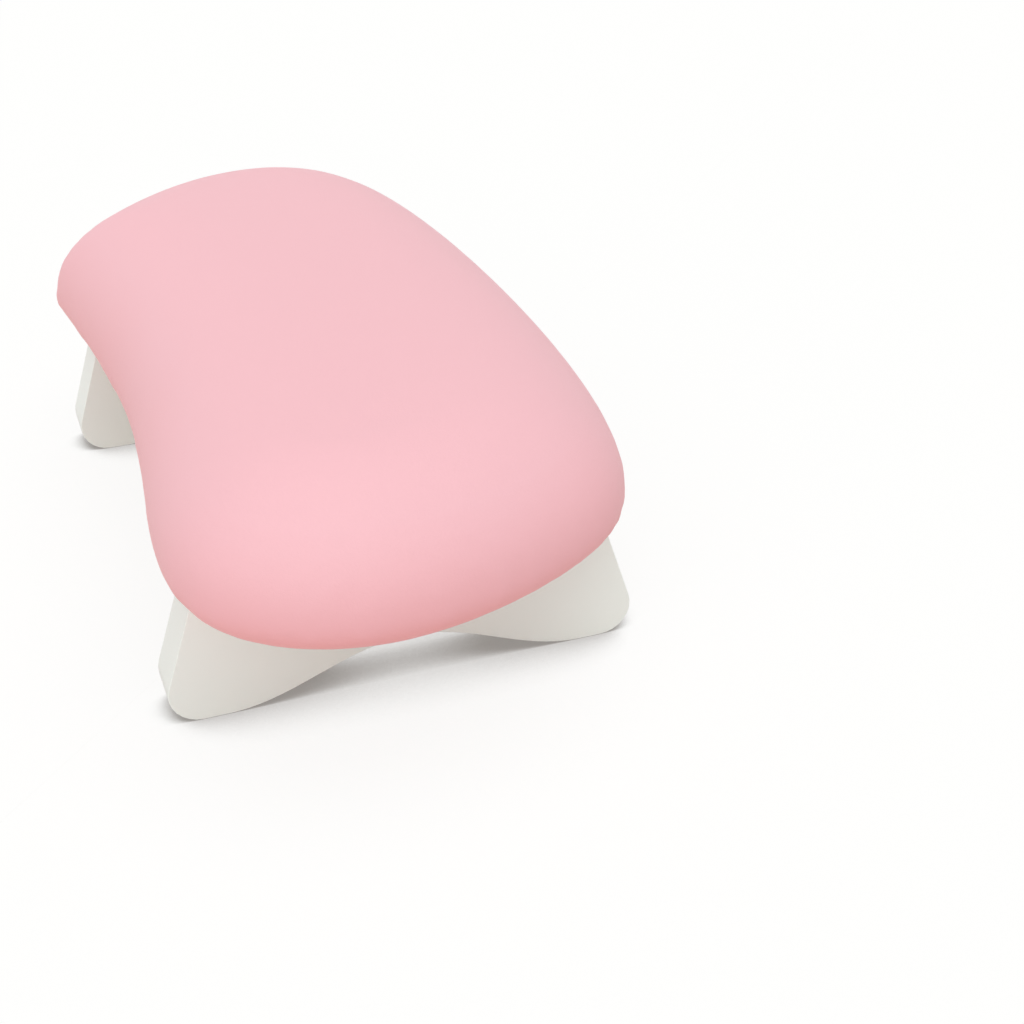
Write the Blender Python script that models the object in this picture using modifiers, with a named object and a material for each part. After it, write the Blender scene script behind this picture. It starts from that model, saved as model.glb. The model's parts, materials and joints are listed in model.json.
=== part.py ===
"""Manicure hand rest: a padded rest on two splayed leg panels.

The pad is upholstered: a soft cover is pulled over a foam core, folded under a flat board and
stapled there. Each leg panel is a flat piece set across the rest. Two screws, driven down through
the board before the foam goes on, hold it.

Lengths are in metres. X runs across the rest, Y along it and Z up. The near end is at -Y. The
origin is on the table, under the middle of the rest.
"""

import math

import bmesh
import bpy
import numpy as np
from mathutils import Matrix

# Pad outline, seen from above: how far each side reaches from the middle of the legs, and how far
# in from its end of the pad that reach is taken
PAD_LENGTH = 0.300
RIGHT_WAIST = 0.0738
RIGHT_WAIST_SHIFT = -0.0007
LEFT_WAIST = 0.0622
FAR_RIGHT_SIDE = 0.0673
FAR_RIGHT_SIDE_SETBACK = 0.0631
FAR_LEFT_SIDE = 0.0698
FAR_LEFT_SIDE_SETBACK = 0.0620
NEAR_RIGHT_SIDE = 0.0683
NEAR_RIGHT_SIDE_SETBACK = 0.0592
NEAR_LEFT_SIDE = 0.0681
NEAR_LEFT_SIDE_SETBACK = 0.0707

# Pad corners and ends, in the same way
FAR_RIGHT_CORNER = 0.0444
FAR_RIGHT_CORNER_SETBACK = 0.0095
FAR_LEFT_CORNER = 0.0638
FAR_LEFT_CORNER_SETBACK = 0.0392
NEAR_RIGHT_CORNER = 0.0406
NEAR_RIGHT_CORNER_SETBACK = 0.0186
NEAR_LEFT_CORNER = 0.0604
NEAR_LEFT_CORNER_SETBACK = 0.0207
FAR_END_SHIFT = -0.0157
NEAR_END_SHIFT = -0.0153
OUTLINE_STEPS = 72

# Over how many steps to each side a ring inside the outline is smoothed, fully so at the shoulder
EASE_SPREAD = 10

# Pad section, from the underside up
PAD_UNDERSIDE = 0.0423
LOWER_DEPTH = 0.0123
LOWER_INSET = 0.0144
SHOULDER_HEIGHT = 0.0254
SHOULDER_INSET = 0.0349
PAD_CROWN = 0.0105
SECTION_ROUNDNESS = 2.16
LOWER_STEPS = 5
SHOULDER_STEPS = 8
TOP_RINGS = 4

# Upholstery
COVER_THICKNESS = 0.0012
HEM_WIDTH = 0.012
FIT_GAP = 0.0003

# Board
BOARD_THICKNESS = 0.009
BOARD_MARGIN = 0.001
BOARD_EDGE = 0.001
BOARD_EDGE_SEGMENTS = 2

# Leg panels: the setback runs from the pad's end to the middle of the panel, and the foot width is
# measured on the table, before the corners are rounded
LEG_SETBACK = 0.0617
LEG_THICKNESS = 0.0162
LEG_FOOT_WIDTH = 0.1485
LEG_SPLAY = 0.326
LEG_CORNER_RADIUS = 0.0094
LEG_TOP_RADIUS = 0.0030
LEG_EDGE_RADIUS = 0.0018
LEG_EDGE_SEGMENTS = 3
LEG_ARCH_WIDTH = 0.109
LEG_ARCH_HEIGHT = 0.0140
LEG_ARCH_STEPS = 24
LEG_CORNER_STEPS = 8
TONGUE_GAP = 0.0006

# Leg screws
SCREW_SPACING = 0.050
SCREW_LENGTH = 0.030
SCREW_SHANK = 0.004
SCREW_HEAD = 0.008
SCREW_TIP = 0.003
SCREW_SIDES = 20

# Cover staples
STAPLE_PITCH = 0.024
STAPLE_CROWN = 0.010
STAPLE_DEPTH = 0.006
STAPLE_WIRE = 0.0008

PAD_END = PAD_LENGTH / 2
LEG_STATION = PAD_END - LEG_SETBACK
WIDEST_HEIGHT = PAD_UNDERSIDE + LOWER_DEPTH
BOARD_INSET = LOWER_INSET + BOARD_MARGIN
BOARD_BOTTOM = PAD_UNDERSIDE + COVER_THICKNESS + FIT_GAP
BOARD_TOP = BOARD_BOTTOM + BOARD_THICKNESS
HEM_INSET = BOARD_INSET + HEM_WIDTH
SHOULDER_TOP = PAD_UNDERSIDE - FIT_GAP
TONGUE_TOP = BOARD_BOTTOM - FIT_GAP
LEG_LEAN = math.atan(LEG_SPLAY)
FOOT_CORNER = LEG_FOOT_WIDTH / 2 - LEG_CORNER_RADIUS / math.tan((math.pi / 2 - LEG_LEAN) / 2)
EDGE_ANGLE = math.radians(60)
FLAT_ANGLE = math.radians(0.1)
MERGE_DISTANCE = 0.000001
WIDTH_CHECKS = 5


def material(name, colour, roughness, metallic=0.0):
    """A plain material in one colour."""
    made = bpy.data.materials.new(name)
    made.use_nodes = True
    shader = made.node_tree.nodes["Principled BSDF"]
    shader.inputs["Base Color"].default_value = (*colour, 1.0)
    shader.inputs["Roughness"].default_value = roughness
    shader.inputs["Metallic"].default_value = metallic
    made.diffuse_color = (*colour, 1.0)
    return made


def collection(name, hidden=False):
    """A new collection in the scene, left out of renders when hidden."""
    made = bpy.data.collections.new(name)
    made.hide_render = hidden
    bpy.context.scene.collection.children.link(made)
    return made


def add_object(name, mesh, group, finish=None):
    """An object of the mesh in the group, with its material where one is given."""
    made = bpy.data.objects.new(name, mesh)
    if finish is not None:
        mesh.materials.append(finish)
    group.objects.link(made)
    return made


def smooth_loop(knots, steps):
    """Points along the closed cubic spline through the knots, with its tangents."""
    knots = np.array(knots)
    count = len(knots)
    ahead, behind = np.roll(knots, -1, axis=0), np.roll(knots, 1, axis=0)
    matrix = 4 * np.eye(count) + np.roll(np.eye(count), 1, axis=1) + np.roll(np.eye(count), -1, axis=1)
    slopes = np.linalg.solve(matrix, 3 * (ahead - behind))
    points, tangents = [], []
    for step in range(steps):
        knot, part = divmod(step * count / steps, 1)
        start, end = int(knot), (int(knot) + 1) % count
        rise = knots[end] - knots[start]
        bend = 3 * rise - 2 * slopes[start] - slopes[end]
        twist = slopes[start] + slopes[end] - 2 * rise
        points.append(knots[start] + slopes[start] * part + bend * part**2 + twist * part**3)
        tangents.append(slopes[start] + 2 * bend * part + 3 * twist * part**2)
    return np.array(points), np.array(tangents)


def pad_outline():
    """The pad seen from above, counterclockwise from the right side, and its inward directions."""
    knots = [
        (RIGHT_WAIST, RIGHT_WAIST_SHIFT),
        (FAR_RIGHT_SIDE, PAD_END - FAR_RIGHT_SIDE_SETBACK),
        (FAR_RIGHT_CORNER, PAD_END - FAR_RIGHT_CORNER_SETBACK),
        (FAR_END_SHIFT, PAD_END),
        (-FAR_LEFT_CORNER, PAD_END - FAR_LEFT_CORNER_SETBACK),
        (-FAR_LEFT_SIDE, PAD_END - FAR_LEFT_SIDE_SETBACK),
        (-LEFT_WAIST, 0.0),
        (-NEAR_LEFT_SIDE, NEAR_LEFT_SIDE_SETBACK - PAD_END),
        (-NEAR_LEFT_CORNER, NEAR_LEFT_CORNER_SETBACK - PAD_END),
        (NEAR_END_SHIFT, -PAD_END),
        (NEAR_RIGHT_CORNER, NEAR_RIGHT_CORNER_SETBACK - PAD_END),
        (NEAR_RIGHT_SIDE, NEAR_RIGHT_SIDE_SETBACK - PAD_END),
    ]
    points, tangents = smooth_loop(knots, OUTLINE_STEPS)
    low, high = points[:, 1].min(), points[:, 1].max()
    stretch = PAD_LENGTH / (high - low)
    points[:, 1] = (points[:, 1] - (low + high) / 2) * stretch
    tangents[:, 1] *= stretch
    inward = np.stack([-tangents[:, 1], tangents[:, 0]], axis=1)
    return points, inward / np.linalg.norm(inward, axis=1)[:, None]


OUTLINE, INWARD = pad_outline()


def inset_ring(inset):
    """The outline moved in, and smoothed more the further in it is, so that it never folds."""
    ring = OUTLINE + INWARD * inset
    weights = np.hanning(2 * EASE_SPREAD + 3)[1:-1]
    around = np.vstack([ring[-EASE_SPREAD:], ring, ring[:EASE_SPREAD]])
    eased = [np.convolve(axis, weights / weights.sum(), mode="valid") for axis in around.T]
    return ring + (np.stack(eased, axis=1) - ring) * inset / SHOULDER_INSET


def half_widths(inset, low, high):
    """How far left and right of the middle the inset outline reaches, at least, between two stations."""
    ring = inset_ring(inset)
    stations = np.linspace(low, high, WIDTH_CHECKS)
    reaches = []
    for side in (-1, 1):
        points = ring[ring[:, 0] * side > 0]
        points = points[np.argsort(points[:, 1])]
        reaches.append(min(np.interp(stations, points[:, 1], points[:, 0] * side)))
    return reaches


def level_ring(points, height):
    """The points of a ring, all at one height."""
    return [(x, y, height) for x, y in points]


def section_rings(inner):
    """Rings of the padded form from the foot of its lower edge to its top, a wall's thickness inside."""
    middle = min(LEFT_WAIST, RIGHT_WAIST)
    top = WIDEST_HEIGHT + SHOULDER_HEIGHT - inner
    rings = []
    for step in range(LOWER_STEPS + 1):
        angle = math.pi / 2 * (step / LOWER_STEPS - 1)
        across = math.cos(angle) ** (2 / SECTION_ROUNDNESS)
        down = abs(math.sin(angle)) ** (2 / SECTION_ROUNDNESS)
        inset = inner + (LOWER_INSET - inner) * (1 - across)
        rings.append(level_ring(inset_ring(inset), WIDEST_HEIGHT - down * (LOWER_DEPTH - inner)))
    for step in range(1, SHOULDER_STEPS + 1):
        angle = math.pi / 2 * step / SHOULDER_STEPS
        across = max(0.0, math.cos(angle)) ** (2 / SECTION_ROUNDNESS)
        up = math.sin(angle) ** (2 / SECTION_ROUNDNESS)
        inset = inner + (SHOULDER_INSET - inner) * (1 - across)
        height = WIDEST_HEIGHT + up * (SHOULDER_HEIGHT - inner)
        crown = PAD_CROWN * (1 - (1 - inset / middle) ** 2)
        rings.append(level_ring(inset_ring(inset), height + crown))
    shoulder = inset_ring(SHOULDER_INSET)
    centre = shoulder.mean(axis=0)
    for step in range(1, TOP_RINGS):
        scale = 1 - step / TOP_RINGS
        reach = scale * (1 - SHOULDER_INSET / middle)
        crown = PAD_CROWN * (1 - reach**2)
        rings.append(level_ring(centre + (shoulder - centre) * scale, top + crown))
    return rings, (*centre, top + PAD_CROWN)


def skinned(name, rings, top, closed_below):
    """A mesh through the rings, closed at the top, and also below where that is wanted."""
    form = bmesh.new()
    loops = [[form.verts.new(point) for point in ring] for ring in rings]
    count = len(loops[0])
    for lower, upper in zip(loops, loops[1:]):
        for i in range(count):
            j = (i + 1) % count
            form.faces.new((lower[i], lower[j], upper[j], upper[i]))
    peak = form.verts.new(top)
    for i in range(count):
        form.faces.new((loops[-1][i], loops[-1][(i + 1) % count], peak))
    if closed_below:
        form.faces.new(reversed(loops[0]))
    for face in form.faces:
        face.smooth = True
    mesh = bpy.data.meshes.new(name)
    form.to_mesh(mesh)
    form.free()
    return mesh


def plate(name, outline, thickness, middle):
    """A flat piece from a closed outline, given as points at one height or in one upright plane."""
    curve = bpy.data.curves.new(name + "_outline", "CURVE")
    curve.dimensions = "2D"
    curve.fill_mode = "BOTH"
    curve.extrude = thickness / 2
    line = curve.splines.new("POLY")
    line.points.add(len(outline) - 1)
    for point, (x, y) in zip(line.points, outline):
        point.co = (x, y, 0.0, 1.0)
    line.use_cyclic_u = True
    drawn = bpy.data.objects.new(name + "_outline", curve)
    bpy.context.scene.collection.objects.link(drawn)
    drawn.matrix_world = middle
    bpy.context.view_layer.update()
    graph = bpy.context.evaluated_depsgraph_get()
    mesh = bpy.data.meshes.new_from_object(drawn.evaluated_get(graph))
    mesh.transform(drawn.matrix_world)
    mesh.name = name
    form = bmesh.new()
    form.from_mesh(mesh)
    bmesh.ops.remove_doubles(form, verts=form.verts, dist=MERGE_DISTANCE)
    bmesh.ops.dissolve_limit(form, angle_limit=FLAT_ANGLE, verts=[], edges=form.edges)
    bmesh.ops.recalc_face_normals(form, faces=form.faces)
    form.to_mesh(mesh)
    form.free()
    bpy.data.objects.remove(drawn)
    bpy.data.curves.remove(curve)
    return mesh


def cut(piece, name, cutter):
    """Takes a cutter object, or every object of a collection of cutters, out of a piece."""
    boolean = piece.modifiers.new(name, "BOOLEAN")
    boolean.operation = "DIFFERENCE"
    boolean.solver = "EXACT"
    if isinstance(cutter, bpy.types.Collection):
        boolean.operand_type = "COLLECTION"
        boolean.collection = cutter
    else:
        boolean.object = cutter


def as_cutter(piece):
    """Marks a piece as a tool that only cuts others."""
    piece.hide_render = True
    piece.display_type = "WIRE"
    return piece


def level_plate(name, outline, low, high):
    """A flat piece lying level between two heights."""
    middle = Matrix.Translation((0, 0, (low + high) / 2))
    return plate(name, outline, high - low, middle)


def make_board(group, cutters, finish):
    """The flat board, with its screw holes and the holes that the staples make."""
    mesh = level_plate("base_board", inset_ring(BOARD_INSET), BOARD_BOTTOM, BOARD_TOP)
    board = add_object("base_board", mesh, group, finish)
    edge = board.modifiers.new("edge", "BEVEL")
    edge.width = BOARD_EDGE
    edge.segments = BOARD_EDGE_SEGMENTS
    edge.limit_method = "ANGLE"
    cut(board, "screw_holes", cutters["screws"])
    cut(board, "staple_holes", cutters["staples"])
    return board


def make_foam(group, cutters, finish):
    """The foam core, which lies on the board and laps down round its edge."""
    rings, top = section_rings(COVER_THICKNESS + FIT_GAP)
    foam = add_object("foam_core", skinned("foam_core", rings, top, True), group, finish)
    cut(foam, "board_recess", cutters["board"])
    return foam


def make_cover(group, cutters, finish):
    """The cover: one skin over the foam, turned in under the board as a hem."""
    rings, top = section_rings(0.0)
    hem = [level_ring(inset_ring(inset), PAD_UNDERSIDE) for inset in (HEM_INSET, BOARD_INSET)]
    cover = add_object("pad_cover", skinned("pad_cover", hem + rings, top, False), group, finish)
    wall = cover.modifiers.new("wall", "SOLIDIFY")
    wall.thickness = COVER_THICKNESS
    wall.offset = -1
    wall.use_even_offset = True
    cut(cover, "screw_holes", cutters["screws"])
    cut(cover, "staple_holes", cutters["staples"])
    return cover


def arc(centre, radius, start, end, steps):
    """Points along an arc, both its ends included."""
    angles = [start + (end - start) * step / steps for step in range(steps + 1)]
    return [(centre[0] + radius * math.cos(a), centre[1] + radius * math.sin(a)) for a in angles]


def leg_half(tongue):
    """One side of a leg panel, from the middle of its arch round the foot to the raised tongue on top."""
    half = LEG_ARCH_WIDTH / 2
    points = []
    for step in range(LEG_ARCH_STEPS + 1):
        share = step / LEG_ARCH_STEPS
        points.append((half * share, LEG_ARCH_HEIGHT * (1 + math.cos(math.pi * share)) / 2))
    centre = (FOOT_CORNER, LEG_CORNER_RADIUS)
    points += arc(centre, LEG_CORNER_RADIUS, -math.pi / 2, LEG_LEAN, LEG_CORNER_STEPS)
    shoulder = LEG_FOOT_WIDTH / 2 - LEG_SPLAY * SHOULDER_TOP
    setback = LEG_TOP_RADIUS / math.tan((math.pi / 2 + LEG_LEAN) / 2)
    centre = (shoulder - setback, SHOULDER_TOP - LEG_TOP_RADIUS)
    points += arc(centre, LEG_TOP_RADIUS, LEG_LEAN, math.pi / 2, LEG_CORNER_STEPS // 2)
    return points + [(tongue, SHOULDER_TOP), (tongue, TONGUE_TOP)]


def soften_edges(mesh):
    """Marks the long edges of both faces of a leg panel, apart from its top, to be rounded."""
    form = bmesh.new()
    form.from_mesh(mesh)
    weights = form.edges.layers.float.new("bevel_weight_edge")
    for edge in form.edges:
        low, high = edge.verts
        along_face = abs(low.co.y - high.co.y) < FIT_GAP
        on_top = min(low.co.z, high.co.z) > SHOULDER_TOP - FIT_GAP
        if along_face and not on_top and edge.calc_face_angle(0.0) > EDGE_ANGLE:
            edge[weights] = 1.0
    form.to_mesh(mesh)
    form.free()


def make_leg(name, y, group, cutters, finish):
    """A leg panel across the rest, its tongue raised between the hem's sides to meet the board."""
    left, right = half_widths(HEM_INSET, y - LEG_THICKNESS / 2, y + LEG_THICKNESS / 2)
    right_side = leg_half(right - TONGUE_GAP)
    left_side = [(-x, z) for x, z in leg_half(left - TONGUE_GAP)]
    outline = right_side + left_side[:0:-1]
    upright = Matrix.Translation((0, y, 0)) @ Matrix.Rotation(math.pi / 2, 4, "X")
    mesh = plate(name, outline, LEG_THICKNESS, upright)
    soften_edges(mesh)
    leg = add_object(name, mesh, group, finish)
    edge = leg.modifiers.new("edge", "BEVEL")
    edge.width = LEG_EDGE_RADIUS
    edge.segments = LEG_EDGE_SEGMENTS
    edge.limit_method = "WEIGHT"
    cut(leg, "pilot_holes", cutters["screws"])
    return leg


def turned(name, profile):
    """A mesh of the profile's line alone, for a Screw modifier to turn."""
    mesh = bpy.data.meshes.new(name)
    edges = [(i, i + 1) for i in range(len(profile) - 1)]
    mesh.from_pydata([(radius, 0, height) for radius, height in profile], edges, [])
    return mesh


def turn(piece):
    """Turns a piece's line round its own upright axis into a closed body."""
    spin = piece.modifiers.new("turned", "SCREW")
    spin.steps = SCREW_SIDES
    spin.render_steps = SCREW_SIDES
    spin.use_merge_vertices = True
    spin.merge_threshold = MERGE_DISTANCE


def screw_profile(growth):
    """A countersunk screw from its head down, or the hole for it when grown by a clearance."""
    head, shank = SCREW_HEAD / 2 + growth, SCREW_SHANK / 2 + growth
    length = SCREW_LENGTH + growth
    mouth = BOARD_EDGE if growth else 0.0
    return [
        (0, mouth),
        (head, mouth),
        (head, 0),
        (shank, shank - head),
        (shank, SCREW_TIP - length),
        (0, -length),
    ]


def make_screws(group, cutter_group, finish):
    """Two screws for each leg panel, flush with the top of the board, and the holes for them."""
    screw_mesh = turned("leg_screw", screw_profile(0.0))
    hole_mesh = turned("screw_hole", screw_profile(FIT_GAP))
    screw_mesh.materials.append(finish)
    for end, y in (("front", -LEG_STATION), ("rear", LEG_STATION)):
        for side, x in (("left", -SCREW_SPACING / 2), ("right", SCREW_SPACING / 2)):
            screw = add_object(f"{end}_leg_screw_{side}", screw_mesh, group)
            hole = as_cutter(add_object(f"{end}_screw_hole_{side}", hole_mesh, cutter_group))
            for piece in (screw, hole):
                piece.location = (x, y, BOARD_TOP)
                turn(piece)


def staple_places():
    """Where each staple's middle lies on the hem and which way its crown points, clear of the legs."""
    ring = inset_ring(BOARD_INSET + HEM_WIDTH / 2)
    ring = np.vstack([ring, ring[:1]])
    along = np.concatenate([[0], np.cumsum(np.linalg.norm(np.diff(ring, axis=0), axis=1))])
    count = int(along[-1] / STAPLE_PITCH)
    keep_out = (LEG_THICKNESS + STAPLE_CROWN) / 2 + STAPLE_WIRE
    places = []
    for number in range(count):
        middle = along[-1] * (number + 0.5) / count
        low, high = (
            np.array([np.interp(spot, along, ring[:, axis]) for axis in (0, 1)])
            for spot in (middle - STAPLE_CROWN / 2, middle + STAPLE_CROWN / 2)
        )
        x, y = (low + high) / 2
        if abs(abs(y) - LEG_STATION) > keep_out:
            places.append((x, y, math.atan2(high[1] - low[1], high[0] - low[0])))
    return places


def make_staples(group, cutter_group, finish):
    """U-shaped staples through the hem into the board, and the holes of their legs."""
    half, wire = STAPLE_CROWN / 2, STAPLE_WIRE
    right_leg = [(half, -wire), (half, STAPLE_DEPTH), (half - wire, STAPLE_DEPTH), (half - wire, 0)]
    left_leg = [(-x, z) for x, z in reversed(right_leg)]
    mesh = plate("cover_staple", right_leg + left_leg, wire, Matrix.Rotation(math.pi / 2, 4, "X"))
    mesh.materials.append(finish)
    width = wire + 2 * FIT_GAP
    low, high = -wire, STAPLE_DEPTH + FIT_GAP
    holes = bmesh.new()
    for number, (x, y, turn_angle) in enumerate(staple_places(), start=1):
        staple = add_object(f"cover_staple_{number:02d}", mesh, group)
        staple.location = (x, y, SHOULDER_TOP)
        staple.rotation_euler = (0, 0, turn_angle)
        frame = Matrix.Translation((x, y, SHOULDER_TOP)) @ Matrix.Rotation(turn_angle, 4, "Z")
        for side in (-1, 1):
            middle = Matrix.Translation((side * (half - wire / 2), 0, (low + high) / 2))
            size = Matrix.Diagonal((width, width, high - low, 1))
            bmesh.ops.create_cube(holes, size=1, matrix=frame @ middle @ size)
    hole_mesh = bpy.data.meshes.new("staple_holes")
    holes.to_mesh(hole_mesh)
    holes.free()
    as_cutter(add_object("staple_holes", hole_mesh, cutter_group))


def main():
    """Builds every piece of the rest, and centres the rest on the origin."""
    for old in list(bpy.data.objects):
        bpy.data.objects.remove(old)
    group = collection("hand_rest")
    cutters = {name: collection(f"{name}_cutters", hidden=True) for name in ("board", "screws", "staples")}
    pink = material("pink_cover", (0.95, 0.55, 0.61), 0.5)
    foam = material("cream_foam", (0.86, 0.79, 0.62), 0.95)
    wood = material("board_wood", (0.62, 0.46, 0.30), 0.75)
    lacquer = material("white_lacquer", (0.83, 0.81, 0.77), 0.35)
    steel = material("zinc_steel", (0.62, 0.63, 0.65), 0.35, 1.0)

    make_screws(group, cutters["screws"], steel)
    make_staples(group, cutters["staples"], steel)
    around_board = inset_ring(BOARD_INSET - FIT_GAP)
    recess = level_plate("board_recess", around_board, PAD_UNDERSIDE, BOARD_TOP + FIT_GAP)
    as_cutter(add_object("board_recess", recess, cutters["board"]))
    make_board(group, cutters, wood)
    make_foam(group, cutters, foam)
    make_cover(group, cutters, pink)
    make_leg("front_leg_panel", -LEG_STATION, group, cutters, lacquer)
    make_leg("rear_leg_panel", LEG_STATION, group, cutters, lacquer)

    reach = FOOT_CORNER + LEG_CORNER_RADIUS
    left, right = min(OUTLINE[:, 0].min(), -reach), max(OUTLINE[:, 0].max(), reach)
    origin = bpy.data.objects.new("hand_rest_origin", None)
    origin.location.x = -(left + right) / 2
    group.objects.link(origin)
    for piece in bpy.data.objects:
        if piece is not origin:
            piece.parent = origin


main()
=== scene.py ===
"""Manicure hand rest: a padded rest on two splayed leg panels, dressed for a studio picture.

Lengths are in metres. X runs across the rest, Y along it and Z up, with the near end at -Y and the
origin on the table, under the middle of the rest.
"""

import json
import logging
import math
from dataclasses import dataclass, field
from enum import Enum

import bmesh
import bpy
from mathutils import Matrix, Vector
from mathutils.bvhtree import BVHTree

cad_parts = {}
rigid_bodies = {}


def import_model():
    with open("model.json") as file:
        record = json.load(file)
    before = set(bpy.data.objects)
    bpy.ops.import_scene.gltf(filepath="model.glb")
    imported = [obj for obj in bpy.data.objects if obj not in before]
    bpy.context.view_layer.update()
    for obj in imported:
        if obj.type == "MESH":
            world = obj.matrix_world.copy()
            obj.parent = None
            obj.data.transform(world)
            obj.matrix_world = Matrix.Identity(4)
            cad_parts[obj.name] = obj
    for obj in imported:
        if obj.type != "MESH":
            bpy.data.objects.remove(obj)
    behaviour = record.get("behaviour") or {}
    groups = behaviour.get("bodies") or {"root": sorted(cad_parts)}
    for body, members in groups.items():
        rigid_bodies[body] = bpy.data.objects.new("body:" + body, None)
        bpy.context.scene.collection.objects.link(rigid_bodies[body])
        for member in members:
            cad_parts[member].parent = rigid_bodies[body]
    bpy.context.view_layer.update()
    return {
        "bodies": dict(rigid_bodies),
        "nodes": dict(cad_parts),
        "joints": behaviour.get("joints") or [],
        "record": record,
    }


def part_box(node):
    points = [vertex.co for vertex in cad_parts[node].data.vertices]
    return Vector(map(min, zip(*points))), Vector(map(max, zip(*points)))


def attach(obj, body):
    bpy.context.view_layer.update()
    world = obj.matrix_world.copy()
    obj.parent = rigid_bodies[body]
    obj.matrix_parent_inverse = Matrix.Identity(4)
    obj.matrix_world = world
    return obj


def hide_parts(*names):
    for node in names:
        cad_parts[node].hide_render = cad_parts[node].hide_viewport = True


LOG = logging.getLogger("hand_rest")
CLOUD_RANGE = (0.3, 0.7)
MERGE_GAP = 0.00001
SENSOR_WIDTH = 36.0


class Texture(Enum):
    """The procedural textures that a finish may be built from."""

    GRAIN = "ShaderNodeTexVoronoi"
    CLOUD = "ShaderNodeTexNoise"


@dataclass(frozen=True)
class Colour:
    """A colour given as it looks on screen, from 0 to 255."""

    red: float
    green: float
    blue: float

    def linear(self) -> tuple[float, float, float, float]:
        """Gives the colour as shader sockets take it."""
        shares = (self.red / 255, self.green / 255, self.blue / 255)
        return (*(s / 12.92 if s <= 0.04045 else ((s + 0.055) / 1.055) ** 2.4 for s in shares), 1.0)


class NodeSheet:
    """The node tree of one material, with short ways to add and join its nodes."""

    def __init__(self, name: str) -> None:
        """Starts a material with its shader.

        Args:
            name: The material's name.
        """
        self.material = bpy.data.materials.new(name)
        self.material.use_nodes = True
        self.tree = self.material.node_tree
        self.shader = self.tree.nodes["Principled BSDF"]
        coordinates = self.add("ShaderNodeTexCoord")
        self.place, self.facing = coordinates.outputs["Object"], coordinates.outputs["Normal"]

    def add(self, kind: str, **settings: object) -> bpy.types.Node:
        """Adds a node.

        Args:
            kind: Blender's name for the kind of node.
            **settings: The node's own properties.

        Returns:
            The new node.
        """
        node = self.tree.nodes.new(kind)
        for name, value in settings.items():
            setattr(node, name, value)
        return node

    def join(self, source: bpy.types.NodeSocket, target: bpy.types.NodeSocket) -> None:
        """Joins an output to an input."""
        self.tree.links.new(source, target)

    def set(self, **values: object) -> None:
        """Sets sockets of the shader, whose names are given with underscores for spaces."""
        for name, value in values.items():
            self.shader.inputs[name.replace("_", " ")].default_value = value

    def stretched(self, scale: tuple[float, float, float]) -> bpy.types.NodeSocket:
        """Gives the object's coordinates, scaled differently along each axis."""
        mapping = self.add("ShaderNodeMapping")
        mapping.inputs["Scale"].default_value = scale
        self.join(self.place, mapping.inputs["Vector"])
        return mapping.outputs["Vector"]

    def texture(
        self,
        kind: Texture,
        scale: float,
        place: bpy.types.NodeSocket | None = None,
        detail: float = 3.0,
        roughness: float = 0.5,
        distortion: float = 0.0,
    ) -> bpy.types.NodeSocket:
        """Adds a texture on the object's own coordinates.

        Args:
            kind: Which texture.
            scale: How many features fit in a metre, roughly.
            place: Other coordinates, if not the object's plain ones.
            detail: Levels of finer detail.
            roughness: How strong the finer levels are.
            distortion: How much a cloud is bent.

        Returns:
            The texture's grey output.
        """
        node = self.add(kind.value)
        node.inputs["Scale"].default_value = scale
        self.join(place or self.place, node.inputs["Vector"])
        for name, value in (("Detail", detail), ("Roughness", roughness), ("Distortion", distortion)):
            if name in node.inputs:
                node.inputs[name].default_value = value
        if kind is Texture.GRAIN:
            node.feature = "DISTANCE_TO_EDGE"
            node.inputs["Detail"].default_value = 0.0
            return node.outputs["Distance"]
        return node.outputs["Fac"]

    def ramp(
        self, source: bpy.types.NodeSocket, stops: list[tuple[float, Colour]]
    ) -> bpy.types.NodeSocket:
        """Turns a grey value into a colour.

        Args:
            source: The grey value.
            stops: Where each colour sits, from 0 to 1.

        Returns:
            The colour output.
        """
        node = self.add("ShaderNodeValToRGB")
        elements = node.color_ramp.elements
        while len(elements) < len(stops):
            elements.new(0.5)
        for element, (position, colour) in zip(elements, stops):
            element.position = position
            element.color = colour.linear()
        self.join(source, node.inputs["Fac"])
        return node.outputs["Color"]

    def span(
        self, source: bpy.types.NodeSocket, low: float, high: float, start: float = 0.0, end: float = 1.0
    ) -> bpy.types.NodeSocket:
        """Maps a grey value's range start to end onto low to high."""
        node = self.add("ShaderNodeMapRange")
        for name, value in (("From Min", start), ("From Max", end), ("To Min", low), ("To Max", high)):
            node.inputs[name].default_value = value
        self.join(source, node.inputs["Value"])
        return node.outputs["Result"]

    def paint(self, source: bpy.types.NodeSocket, stops: list[tuple[float, Colour]]) -> None:
        """Lets the shader's colour follow a grey value.

        Args:
            source: The grey value.
            stops: Where each colour sits, from 0 to 1.
        """
        self.join(self.ramp(source, stops), self.shader.inputs["Base Color"])

    def vary_roughness(
        self,
        source: bpy.types.NodeSocket,
        middle: float,
        spread: float,
        within: tuple[float, float] = CLOUD_RANGE,
    ) -> None:
        """Lets the shader's roughness follow a grey value, a little to either side of its middle.

        Args:
            source: The grey value.
            middle: The middle roughness.
            spread: How far it goes to either side.
            within: The range of grey values that counts.
        """
        rough = self.span(source, middle - spread, middle + spread, *within)
        self.join(rough, self.shader.inputs["Roughness"])

    def bump(self, layers: list[tuple[bpy.types.NodeSocket, float, float]]) -> None:
        """Stacks bumps and joins them to the shader.

        Args:
            layers: For each layer, its height, how deep it is in metres, and its strength.
        """
        normal = None
        for height, depth, strength in layers:
            node = self.add("ShaderNodeBump")
            node.inputs["Distance"].default_value = depth
            node.inputs["Strength"].default_value = strength
            self.join(height, node.inputs["Height"])
            if normal is not None:
                self.join(normal, node.inputs["Normal"])
            normal = node.outputs["Normal"]
        self.join(normal, self.shader.inputs["Normal"])


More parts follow.
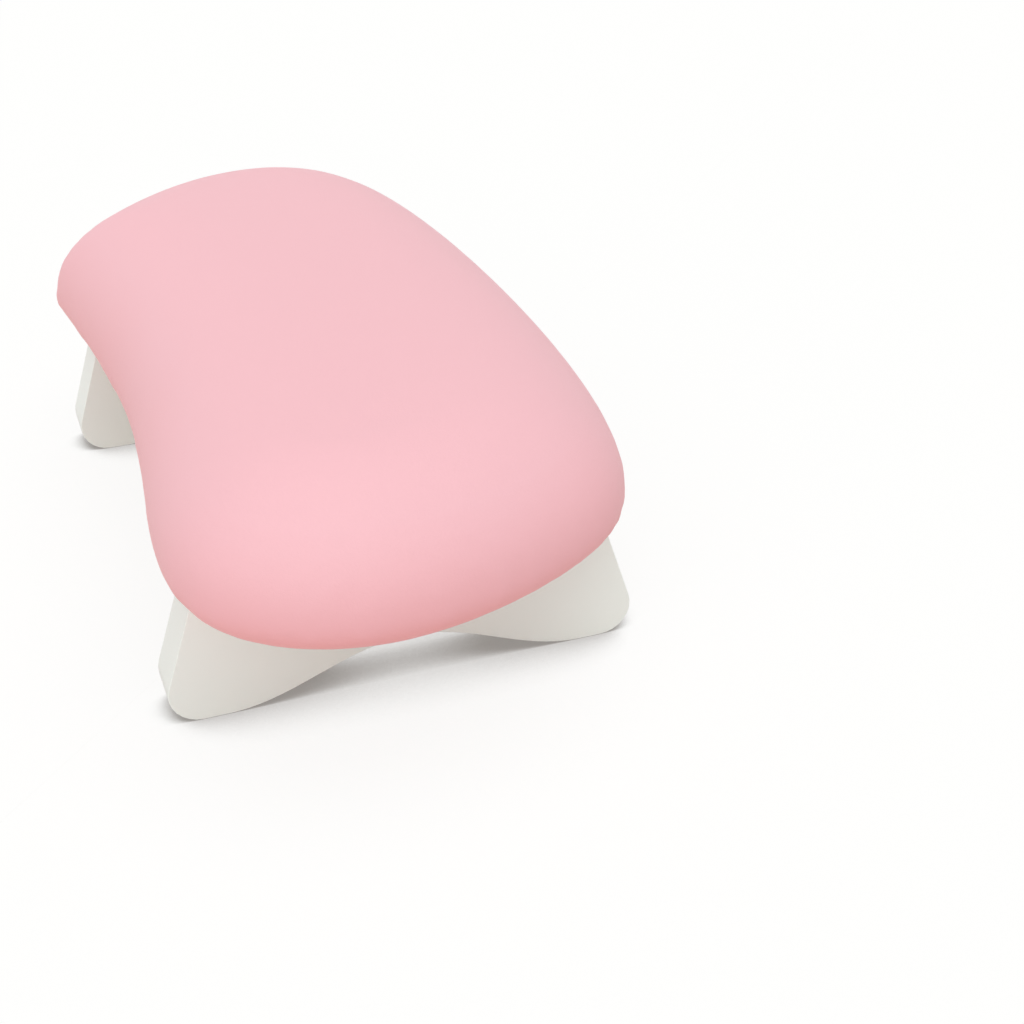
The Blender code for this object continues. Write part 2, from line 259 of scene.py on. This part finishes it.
@dataclass(frozen=True)
class SoftLeather:
    """The cover's synthetic leather: matt, with a very fine grain, and painted shade that deepens from the
    top down the sides to the underside.
    """

    name: str = "pink_soft_leather"
    # Painted shade: the top colour stands for the lit top, and the side and underside colours for its shaded
    # flanks and underside.
    top: Colour = Colour(248, 194, 201)
    side: Colour = Colour(249, 184, 189)
    underside: Colour = Colour(247, 169, 170)
    shaded_underside_at: float = 0.2
    shaded_side_at: float = 0.55
    lit_top_at: float = 0.9
    cloud_scale: float = 18.0
    cloud_depth: float = 0.03
    grain_scale: float = 900.0
    grain_depth: float = 0.00006
    grain_groove: float = 0.12
    grain_strength: float = 0.30
    fine_scale: float = 1530.0
    fine_strength: float = 0.20
    swell_scale: float = 22.0
    swell_depth: float = 0.0006
    swell_strength: float = 0.25
    roughness: float = 0.62
    roughness_spread: float = 0.06
    sheen: float = 0.12
    sheen_roughness: float = 0.5
    shine: float = 0.30

    def build(self) -> bpy.types.Material:
        """Makes the material.

        Returns:
            The material.
        """
        sheet = NodeSheet(self.name)
        cloud = sheet.texture(Texture.CLOUD, self.cloud_scale, detail=4.0)
        # Painted shade: which way the skin faces, plus a little cloud, picks the colour, darker and redder
        # the more the skin faces down.
        slope = sheet.add("ShaderNodeSeparateXYZ")
        sheet.join(sheet.facing, slope.inputs[0])
        shade_by_facing = sheet.add("ShaderNodeMath", operation="ADD")
        sheet.join(sheet.span(slope.outputs["Z"], 0.0, 1.0, -1.0, 1.0), shade_by_facing.inputs[0])
        sheet.join(sheet.span(cloud, -self.cloud_depth, self.cloud_depth, *CLOUD_RANGE), shade_by_facing.inputs[1])
        sheet.paint(
            shade_by_facing.outputs[0],
            [(self.shaded_underside_at, self.underside), (self.shaded_side_at, self.side), (self.lit_top_at, self.top)],
        )
        grain = sheet.texture(Texture.GRAIN, self.grain_scale)
        fine = sheet.texture(Texture.CLOUD, self.fine_scale, detail=2.0)
        swell = sheet.texture(Texture.CLOUD, self.swell_scale, detail=1.0)
        sheet.vary_roughness(fine, self.roughness, self.roughness_spread)
        sheet.bump(
            [
                (swell, self.swell_depth, self.swell_strength),
                (sheet.span(grain, 0.0, 1.0, 0.0, self.grain_groove), self.grain_depth, self.grain_strength),
                (fine, self.grain_depth, self.fine_strength),
            ]
        )
        sheet.set(
            Sheen_Weight=self.sheen,
            Sheen_Roughness=self.sheen_roughness,
            Specular_IOR_Level=self.shine,
        )
        return sheet.material


@dataclass(frozen=True)
class SatinLacquer:
    """The leg panels' off-white lacquer, sprayed over smooth wood."""

    name: str = "white_satin_lacquer"
    light: Colour = Colour(251, 255, 249)
    deep: Colour = Colour(250, 254, 248)
    deep_at: float = 0.35
    light_at: float = 0.65
    cloud_scale: float = 30.0
    cloud_range: tuple[float, float] = (0.2, 0.8)
    peel_scale: float = 420.0
    peel_depth: float = 0.00005
    peel_strength: float = 0.25
    roughness: float = 0.30
    roughness_spread: float = 0.02

    def build(self) -> bpy.types.Material:
        """Makes the material.

        Returns:
            The material.
        """
        sheet = NodeSheet(self.name)
        cloud = sheet.texture(Texture.CLOUD, self.cloud_scale, detail=3.0)
        sheet.paint(cloud, [(self.deep_at, self.deep), (self.light_at, self.light)])
        sheet.vary_roughness(cloud, self.roughness, self.roughness_spread, self.cloud_range)
        peel = sheet.texture(Texture.CLOUD, self.peel_scale, detail=2.0)
        sheet.bump([(peel, self.peel_depth, self.peel_strength)])
        return sheet.material


@dataclass(frozen=True)
class Plywood:
    """The board's sanded plywood face, with its grain along the rest."""

    name: str = "sanded_plywood"
    light: Colour = Colour(222, 192, 150)
    deep: Colour = Colour(198, 160, 114)
    deep_at: float = 0.35
    light_at: float = 0.62
    grain_scale: float = 110.0
    grain_stretch: float = 0.05
    grain_bend: float = 0.6
    fibre_scale: float = 900.0
    fibre_share: float = 0.35
    fibre_depth: float = 0.00015
    fibre_strength: float = 0.4
    roughness: float = 0.7
    roughness_spread: float = 0.1

    def build(self) -> bpy.types.Material:
        """Makes the material.

        Returns:
            The material.
        """
        sheet = NodeSheet(self.name)
        along = sheet.stretched((1.0, self.grain_stretch, 1.0))
        broad = sheet.texture(
            Texture.CLOUD, self.grain_scale, along, detail=6.0, distortion=self.grain_bend
        )
        fibre = sheet.texture(Texture.CLOUD, self.fibre_scale, along, detail=4.0)
        mix = sheet.add("ShaderNodeMix", data_type="FLOAT")
        mix.inputs[0].default_value = self.fibre_share
        sheet.join(broad, mix.inputs[2])
        sheet.join(fibre, mix.inputs[3])
        sheet.paint(mix.outputs[0], [(self.deep_at, self.deep), (self.light_at, self.light)])
        sheet.vary_roughness(fibre, self.roughness, self.roughness_spread)
        sheet.bump([(fibre, self.fibre_depth, self.fibre_strength)])
        return sheet.material


@dataclass(frozen=True)
class OpenFoam:
    """The core's open-cell foam."""

    name: str = "cream_open_foam"
    light: Colour = Colour(240, 228, 190)
    deep: Colour = Colour(214, 198, 156)
    deep_at: float = 0.35
    cell_scale: float = 700.0
    cell_depth: float = 0.0004
    cell_strength: float = 0.6
    roughness: float = 0.95

    def build(self) -> bpy.types.Material:
        """Makes the material.

        Returns:
            The material.
        """
        sheet = NodeSheet(self.name)
        cells = sheet.texture(Texture.GRAIN, self.cell_scale)
        sheet.paint(cells, [(0.0, self.light), (self.deep_at, self.deep)])
        sheet.bump([(cells, self.cell_depth, self.cell_strength)])
        sheet.set(Roughness=self.roughness)
        return sheet.material


@dataclass(frozen=True)
class ZincSteel:
    """Zinc-plated steel, faintly brushed along its length."""

    name: str
    stretch: tuple[float, float, float]
    bright: Colour = Colour(196, 198, 202)
    dull: Colour = Colour(168, 170, 174)
    streak_scale: float = 1800.0
    streak_depth: float = 0.00002
    streak_strength: float = 0.3
    roughness: float = 0.34
    roughness_spread: float = 0.08

    def build(self) -> bpy.types.Material:
        """Makes the material.

        Returns:
            The material.
        """
        sheet = NodeSheet(self.name)
        along = sheet.stretched(self.stretch)
        streaks = sheet.texture(Texture.CLOUD, self.streak_scale, along, detail=3.0)
        sheet.paint(streaks, list(zip(CLOUD_RANGE, (self.dull, self.bright))))
        sheet.vary_roughness(streaks, self.roughness, self.roughness_spread)
        sheet.bump([(streaks, self.streak_depth, self.streak_strength)])
        sheet.set(Metallic=1.0)
        return sheet.material


def deselect_all() -> None:
    """Leaves object mode's selection empty."""
    if bpy.context.mode != "OBJECT":
        bpy.ops.object.mode_set(mode="OBJECT")
    bpy.ops.object.select_all(action="DESELECT")


def pick(piece: bpy.types.Object) -> bpy.types.Object:
    """Makes a piece the only one selected, and active."""
    deselect_all()
    piece.select_set(True)
    bpy.context.view_layer.objects.active = piece
    return piece


def apply_all(piece: bpy.types.Object) -> None:
    """Applies every modifier of a piece, from the top."""
    pick(piece)
    for modifier in list(piece.modifiers):
        bpy.ops.object.modifier_apply(modifier=modifier.name)


def copy_of(node: bpy.types.Object, name: str) -> bpy.types.Object:
    """Copies a CAD solid into a piece of its own, with its loose triangles merged.

    Args:
        node: The CAD solid.
        name: The copy's name.

    Returns:
        The copy, at the origin and riding on nothing.
    """
    piece = bpy.data.objects.new(name, node.data.copy())
    piece.data.materials.clear()
    bpy.context.scene.collection.objects.link(piece)
    pick(piece)
    bpy.ops.object.mode_set(mode="EDIT")
    bpy.ops.mesh.select_all(action="SELECT")
    bpy.ops.mesh.remove_doubles(threshold=MERGE_GAP)
    bpy.ops.object.mode_set(mode="OBJECT")
    return piece


def tree_of(piece: bpy.types.Object) -> BVHTree:
    """Builds a search tree of a piece's faces, for distances to it."""
    form = bmesh.new()
    form.from_mesh(piece.data)
    tree = BVHTree.FromBMesh(form)
    form.free()
    return tree


def dress(piece: bpy.types.Object, finish: bpy.types.Material) -> None:
    """Gives a piece one finish all over."""
    piece.data.materials.clear()
    piece.data.materials.append(finish)


@dataclass
class Pad:
    """The padded top: a soft cover drawn over foam and stapled under a board."""

    nodes: dict[str, bpy.types.Object]
    voxel: float = 0.004
    pressure: float = 4.0
    cloth_quality: int = 5
    frames: int = 20
    swell_cap: float = 0.0012
    settle_rounds: int = 6
    cover_thickness: float = 0.0012
    foam_clearance: float = 0.0019
    least_clearance: float = 0.0005
    even_share: float = 0.5
    even_rounds: int = 16
    stapled_height: float = 0.0035
    hem_ease: float = 0.0021
    same_way: float = 0.3
    downward: float = -0.5
    flat_downward: float = -0.99
    flat_gap: float = 0.00001
    slot_corners: int = 8
    underneath: float = -0.9
    underneath_ease: float = 0.7
    leather: SoftLeather = field(default_factory=SoftLeather)
    plywood: Plywood = field(default_factory=Plywood)
    foam: OpenFoam = field(default_factory=OpenFoam)

    def build(self) -> list[bpy.types.Object]:
        """Builds the cover and dresses the foam and the board.

        Returns:
            The pad's pieces.
        """
        cover = self.soft_form()
        self.inflate(cover)
        self.refine(cover)
        self.open_underside(cover)
        self.thicken(cover)
        dress(cover, self.leather.build())
        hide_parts("pad_cover")
        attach(cover, "root")
        dress(self.nodes["foam_core"], self.foam.build())
        dress(self.nodes["base_board"], self.plywood.build())
        return [cover]

    def soft_form(self) -> bpy.types.Object:
        """Makes one closed form of the pad, ready for the cloth.

        Returns:
            The form, remeshed evenly.
        """
        parts = [copy_of(self.nodes[n], f"{n}_copy") for n in ("pad_cover", "foam_core", "base_board")]
        deselect_all()
        for part in parts:
            part.select_set(True)
        bpy.context.view_layer.objects.active = parts[0]
        bpy.ops.object.join()
        form = parts[0]
        form.name = form.data.name = "pad_cover_soft"
        remesh = form.modifiers.new("even", "REMESH")
        remesh.mode = "VOXEL"
        remesh.voxel_size = self.voxel
        remesh.use_smooth_shade = True
        apply_all(form)
        return form

    def inflate(self, cover: bpy.types.Object) -> None:
        """Lets air pressure swell the cover, held where it is stapled, and caps how far it moves.

        Args:
            cover: The closed form of the pad.
        """
        low = min(v.co.z for v in cover.data.vertices)
        rest = [v.co.copy() for v in cover.data.vertices]
        held = cover.vertex_groups.new(name="stapled")
        held.add([v.index for v in cover.data.vertices if v.co.z < low + self.stapled_height], 1.0, "REPLACE")
        pick(cover)
        cloth = cover.modifiers.new("air", "CLOTH")
        cloth.settings.use_pressure = True
        cloth.settings.uniform_pressure_force = self.pressure
        cloth.settings.effector_weights.gravity = 0.0
        cloth.settings.vertex_group_mass = held.name
        cloth.settings.quality = self.cloth_quality
        cloth.point_cache.frame_start = 1
        cloth.point_cache.frame_end = self.frames
        for frame in range(1, self.frames + 1):
            bpy.context.scene.frame_set(frame)
        apply_all(cover)
        bpy.context.scene.frame_set(1)
        for vertex, start in zip(cover.data.vertices, rest):
            move = vertex.co - start
            if move.length > self.swell_cap:
                vertex.co = start + move.normalized() * self.swell_cap
        cover.vertex_groups.clear()

    def refine(self, cover: bpy.types.Object) -> None:
        """Smooths and subdivides the cover, and keeps it clear of the foam inside it.

        Args:
            cover: The closed form of the pad.
        """
        pick(cover)
        smooth = cover.modifiers.new("settle", "CORRECTIVE_SMOOTH")
        smooth.iterations = self.settle_rounds
        smooth.use_only_smooth = True
        finer = cover.modifiers.new("finer", "SUBSURF")
        finer.levels = finer.render_levels = 1
        apply_all(cover)
        foam = tree_of(self.nodes["foam_core"])
        self.keep_clear(cover, foam, self.foam_clearance)
        self.even_out(cover)
        self.keep_clear(cover, foam, self.least_clearance)
        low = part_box("pad_cover")[0][2]
        for vertex in cover.data.vertices:
            vertex.co.z = low + self.eased_rise(vertex.co.z - low)

    def keep_clear(self, cover: bpy.types.Object, foam: BVHTree, gap: float) -> None:
        """Moves the skin out where it is too near the foam, and less so underneath.

        Args:
            cover: The closed form of the pad.
            foam: The foam's faces.
            gap: The gap to keep over the foam's top and sides.
        """
        facing = [vertex.normal.copy() for vertex in cover.data.vertices]
        for vertex, outward in zip(cover.data.vertices, facing):
            point, normal, _, _ = foam.find_nearest(vertex.co)
            share = min(1.0, max(0.0, (normal.z - self.underneath) / self.underneath_ease))
            wanted = self.least_clearance + (gap - self.least_clearance) * share
            short = wanted - normal.dot(vertex.co - point)
            if outward.dot(normal) > self.same_way and short > 0.0:
                vertex.co += normal * short

    def even_out(self, cover: bpy.types.Object) -> None:
        """Smooths away what the foam's facets leave in the skin.

        Args:
            cover: The closed form of the pad.
        """
        even = cover.modifiers.new("even_out", "SMOOTH")
        even.factor = self.even_share
        even.iterations = self.even_rounds
        apply_all(cover)

    def eased_rise(self, height: float) -> float:
        """Flattens the hem: gives a height over it that starts out level and then joins the pad."""
        rise = max(0.0, height) / self.hem_ease
        return self.hem_ease * rise**3 * (3.0 - 2.0 * rise) if rise < 1.0 else height

    def open_underside(self, cover: bpy.types.Object) -> None:
        """Opens the underside inside the hem, where the board shows, and trues the opening's edge.

        Args:
            cover: The closed form of the pad.
        """
        rim = [Vector(point) for point in self.hem_outline()]
        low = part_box("pad_cover")[0][2]
        form = bmesh.new()
        form.from_mesh(cover.data)
        inside = [
            face
            for face in form.faces
            if face.calc_center_median().z < low + self.stapled_height
            and face.normal.z < self.downward
            and self.within(face.calc_center_median(), rim)
        ]
        bmesh.ops.delete(form, geom=inside, context="FACES")
        for vertex in form.verts:
            if vertex.is_boundary:
                spot = self.nearest(vertex.co.to_2d(), rim)
                vertex.co = (spot.x, spot.y, low)
        form.to_mesh(cover.data)
        form.free()

    def hem_outline(self) -> list[tuple[float, float]]:
        """Finds the inner edge of the hem on the CAD cover's underside.

        Returns:
            The edge's points in order.
        """
        copy = copy_of(self.nodes["pad_cover"], "hem_copy")
        form = bmesh.new()
        form.from_mesh(copy.data)
        low = min(vertex.co.z for vertex in form.verts)
        flat = {
            face
            for face in form.faces
            if face.normal.z < self.flat_downward
            and all(abs(v.co.z - low) < self.flat_gap for v in face.verts)
        }
        links: dict[bmesh.types.BMVert, list[bmesh.types.BMVert]] = {}
        for edge in form.edges:
            if len(flat.intersection(edge.link_faces)) == 1:
                for here, there in (edge.verts, reversed(edge.verts)):
                    links.setdefault(here, []).append(there)
        loops = []
        while links:
            loop = [next(iter(links))]
            while loop[-1] in links:
                ahead = [vertex for vertex in links.pop(loop[-1]) if vertex in links]
                loop += ahead[:1]
                if not ahead:
                    break
            loops.append([(vertex.co.x, vertex.co.y) for vertex in loop])
        form.free()
        bpy.data.objects.remove(copy)
        outlines = [loop for loop in loops if len(loop) > self.slot_corners]
        return min(outlines, key=lambda loop: max(x for x, _ in loop))

    @staticmethod
    def within(point: Vector, rim: list[Vector]) -> bool:
        """Tells whether a point lies inside the rim, seen from above."""
        inside = False
        for a, b in zip(rim, rim[1:] + rim[:1]):
            if (a.y > point.y) != (b.y > point.y):
                inside ^= point.x < (b.x - a.x) * (point.y - a.y) / (b.y - a.y) + a.x
        return inside

    @staticmethod
    def nearest(point: Vector, rim: list[Vector]) -> Vector:
        """Finds the place on the rim that is nearest to a point."""
        places = []
        for a, b in zip(rim, rim[1:] + rim[:1]):
            side = b - a
            share = max(0.0, min(1.0, (point - a).dot(side) / side.length_squared))
            places.append(a + side * share)
        return min(places, key=lambda place: (place - point).length_squared)

    def thicken(self, cover: bpy.types.Object) -> None:
        """Gives the cover its thickness, inwards.

        Args:
            cover: The open skin.
        """
        wall = cover.modifiers.new("wall", "SOLIDIFY")
        wall.thickness = self.cover_thickness
        wall.offset = -1.0
        apply_all(cover)
        bpy.ops.object.shade_smooth()


@dataclass
class Legs:
    """The two lacquered leg panels."""

    nodes: dict[str, bpy.types.Object]
    smooth_angle: float = 32.0
    flat_angle: float = 0.5
    lacquer: SatinLacquer = field(default_factory=SatinLacquer)

    def build(self) -> list[bpy.types.Object]:
        """Builds both panels.

        Returns:
            The panels.
        """
        finish = self.lacquer.build()
        return [self.panel(name, finish) for name in ("front_leg_panel", "rear_leg_panel")]

    def panel(self, name: str, finish: bpy.types.Material) -> bpy.types.Object:
        """Makes one panel with whole flat faces and smoothly rounded edges.

        Args:
            name: The CAD solid that it dresses.
            finish: Its lacquer.

        Returns:
            The panel.
        """
        panel = copy_of(self.nodes[name], f"{name}_lacquered")
        bpy.ops.object.mode_set(mode="EDIT")
        bpy.ops.mesh.select_all(action="SELECT")
        bpy.ops.mesh.dissolve_limited(angle_limit=math.radians(self.flat_angle))
        bpy.ops.object.mode_set(mode="OBJECT")
        bpy.ops.object.shade_smooth_by_angle(angle=math.radians(self.smooth_angle))
        weights = panel.modifiers.new("flat_faces_lead", "WEIGHTED_NORMAL")
        weights.keep_sharp = True
        apply_all(panel)
        dress(panel, finish)
        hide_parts(name)
        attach(panel, "root")
        return panel


@dataclass
class Fasteners:
    """The leg screws and the cover's staples, which keep the shapes of their solids."""

    nodes: dict[str, bpy.types.Object]
    screw_steel: ZincSteel = ZincSteel("screw_zinc", (1.0, 1.0, 0.1))
    staple_steel: ZincSteel = ZincSteel("staple_wire", (0.2, 0.2, 1.0))

    def build(self) -> list[bpy.types.Object]:
        """Dresses the fasteners.

        Returns:
            The pieces that were added, of which there are none.
        """
        screw, staple = self.screw_steel.build(), self.staple_steel.build()
        for name, node in self.nodes.items():
            if "screw" in name:
                dress(node, screw)
            elif "staple" in name:
                dress(node, staple)
        return []


@dataclass
class Studio:
    """A white floor, soft light and the camera."""

    eye: tuple[float, float, float] = (-0.11292, -0.49371, 0.29445)
    azimuth: float = -19.947
    elevation: float = 30.128
    roll: float = -0.378
    lens: float = 59.766
    clip: tuple[float, float] = (0.01, 20.0)
    floor_size: float = 40.0
    floor_white: Colour = Colour(255, 255, 254)
    floor_bounce: Colour = Colour(236, 235, 232)
    shadow_share: float = 0.12
    # Painted shadow: how far ambient occlusion looks, where it starts and stops darkening, and the dark
    # colour painted into the floor's glow under the rest.
    painted_shadow_reach: float = 0.042
    painted_shadow_closed: float = 0.37
    painted_shadow_open: float = 0.71
    painted_shadow_dark: Colour = Colour(150, 145, 141)
    sky_strength: float = 0.45

    def build(self) -> None:
        """Sets up the whole studio."""
        scene = bpy.context.scene
        scene.view_settings.view_transform = "Standard"
        self.floor()
        self.world()
        self.lamps()
        scene.camera = self.camera()

    def camera(self) -> bpy.types.Object:
        """Places the camera.

        Returns:
            The camera.
        """
        az, el, roll = (math.radians(a) for a in (self.azimuth, self.elevation, self.roll))
        back = Vector((math.sin(az) * math.cos(el), -math.cos(az) * math.cos(el), math.sin(el)))
        right = Vector((math.cos(az), math.sin(az), 0.0))
        up = back.cross(right)
        across = right * math.cos(roll) + up * math.sin(roll)
        upright = up * math.cos(roll) - right * math.sin(roll)
        lens = bpy.data.cameras.new("camera")
        lens.lens = self.lens
        lens.sensor_width = SENSOR_WIDTH
        lens.clip_start, lens.clip_end = self.clip
        camera = bpy.data.objects.new("camera", lens)
        turn = Matrix((across, upright, back)).transposed().to_4x4()
        camera.matrix_world = Matrix.Translation(self.eye) @ turn
        bpy.context.scene.collection.objects.link(camera)
        return camera

    def floor(self) -> None:
        """Lays a white floor whose glow, as the camera sees it, carries a painted contact shadow where
        ambient occlusion finds the rest close by, with a small share of lit floor that keeps the rest's real
        shadow, and throws less light back than it shows.
        """
        deselect_all()
        bpy.ops.mesh.primitive_plane_add(size=self.floor_size)
        floor = bpy.context.active_object
        floor.name = "studio_floor"
        sheet = NodeSheet("studio_white")
        sheet.set(Base_Color=self.floor_bounce.linear(), Roughness=1.0, Specular_IOR_Level=0.0)
        lit = sheet.add("ShaderNodeBsdfDiffuse")
        lit.inputs["Color"].default_value = self.floor_white.linear()
        # Painted shadow: the glow the camera sees is darkened by ambient occlusion near the rest; only a
        # small share is lit floor with its real shadow.
        near = sheet.add("ShaderNodeAmbientOcclusion")
        near.inputs["Distance"].default_value = self.painted_shadow_reach
        plain = sheet.add("ShaderNodeEmission")
        shade = sheet.ramp(
            near.outputs["AO"],
            [(self.painted_shadow_closed, self.painted_shadow_dark), (self.painted_shadow_open, self.floor_white)],
        )
        sheet.join(shade, plain.inputs["Color"])
        seen = sheet.add("ShaderNodeMixShader")
        seen.inputs["Fac"].default_value = self.shadow_share
        sheet.join(plain.outputs[0], seen.inputs[1])
        sheet.join(lit.outputs[0], seen.inputs[2])
        path = sheet.add("ShaderNodeLightPath")
        choice = sheet.add("ShaderNodeMixShader")
        sheet.join(path.outputs["Is Camera Ray"], choice.inputs["Fac"])
        sheet.join(sheet.shader.outputs[0], choice.inputs[1])
        sheet.join(seen.outputs[0], choice.inputs[2])
        sheet.join(choice.outputs[0], sheet.tree.nodes["Material Output"].inputs["Surface"])
        dress(floor, sheet.material)

    def world(self) -> None:
        """Lights everything softly from all round, and shows as white behind."""
        world = bpy.data.worlds.new("studio_light")
        world.use_nodes = True
        tree = world.node_tree
        tree.nodes.clear()
        light, seen = (tree.nodes.new("ShaderNodeBackground") for _ in range(2))
        light.inputs["Strength"].default_value = self.sky_strength
        for sky in (light, seen):
            sky.inputs["Color"].default_value = (1.0, 1.0, 1.0, 1.0)
        path = tree.nodes.new("ShaderNodeLightPath")
        direct, either = (tree.nodes.new("ShaderNodeMath") for _ in range(2))
        direct.operation = either.operation = "MAXIMUM"
        tree.links.new(path.outputs["Is Camera Ray"], direct.inputs[0])
        tree.links.new(path.outputs["Is Glossy Ray"], direct.inputs[1])
        tree.links.new(direct.outputs[0], either.inputs[0])
        tree.links.new(path.outputs["Is Transmission Ray"], either.inputs[1])
        mix = tree.nodes.new("ShaderNodeMixShader")
        out = tree.nodes.new("ShaderNodeOutputWorld")
        tree.links.new(either.outputs[0], mix.inputs["Fac"])
        tree.links.new(light.outputs[0], mix.inputs[1])
        tree.links.new(seen.outputs[0], mix.inputs[2])
        tree.links.new(mix.outputs[0], out.inputs["Surface"])
        bpy.context.scene.world = world

    def lamps(self) -> None:
        """Hangs a broad light low on the left and a stronger one overhead."""
        self.lamp("key_light", (-0.55, -0.62, 0.57), 0.80, 50.0)
        self.lamp("top_light", (0.10, -0.05, 0.97), 1.22, 60.0)

    def lamp(self, name: str, towards: tuple[float, float, float], strength: float, softness: float) -> None:
        """Hangs one broad, distant lamp.

        Args:
            name: The lamp's name.
            towards: The direction from the rest to the lamp.
            strength: Its strength.
            softness: How wide it looks from the rest, in degrees.
        """
        data = bpy.data.lights.new(name, "SUN")
        data.energy = strength
        data.angle = math.radians(softness)
        lamp = bpy.data.objects.new(name, data)
        lamp.location = towards
        lamp.rotation_euler = Vector(towards).to_track_quat("Z", "Y").to_euler()
        bpy.context.scene.collection.objects.link(lamp)


def main() -> None:
    """Builds the rest and its studio, and logs how many faces each added piece has."""
    logging.basicConfig(level=logging.INFO, format="%(name)s: %(message)s")
    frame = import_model()
    nodes = frame["nodes"]
    Studio().build()
    for assembly in (Pad(nodes), Legs(nodes), Fasteners(nodes)):
        for piece in assembly.build():
            LOG.info("%s: %d faces", piece.name, len(piece.data.polygons))


if __name__ == "__main__":
    main()
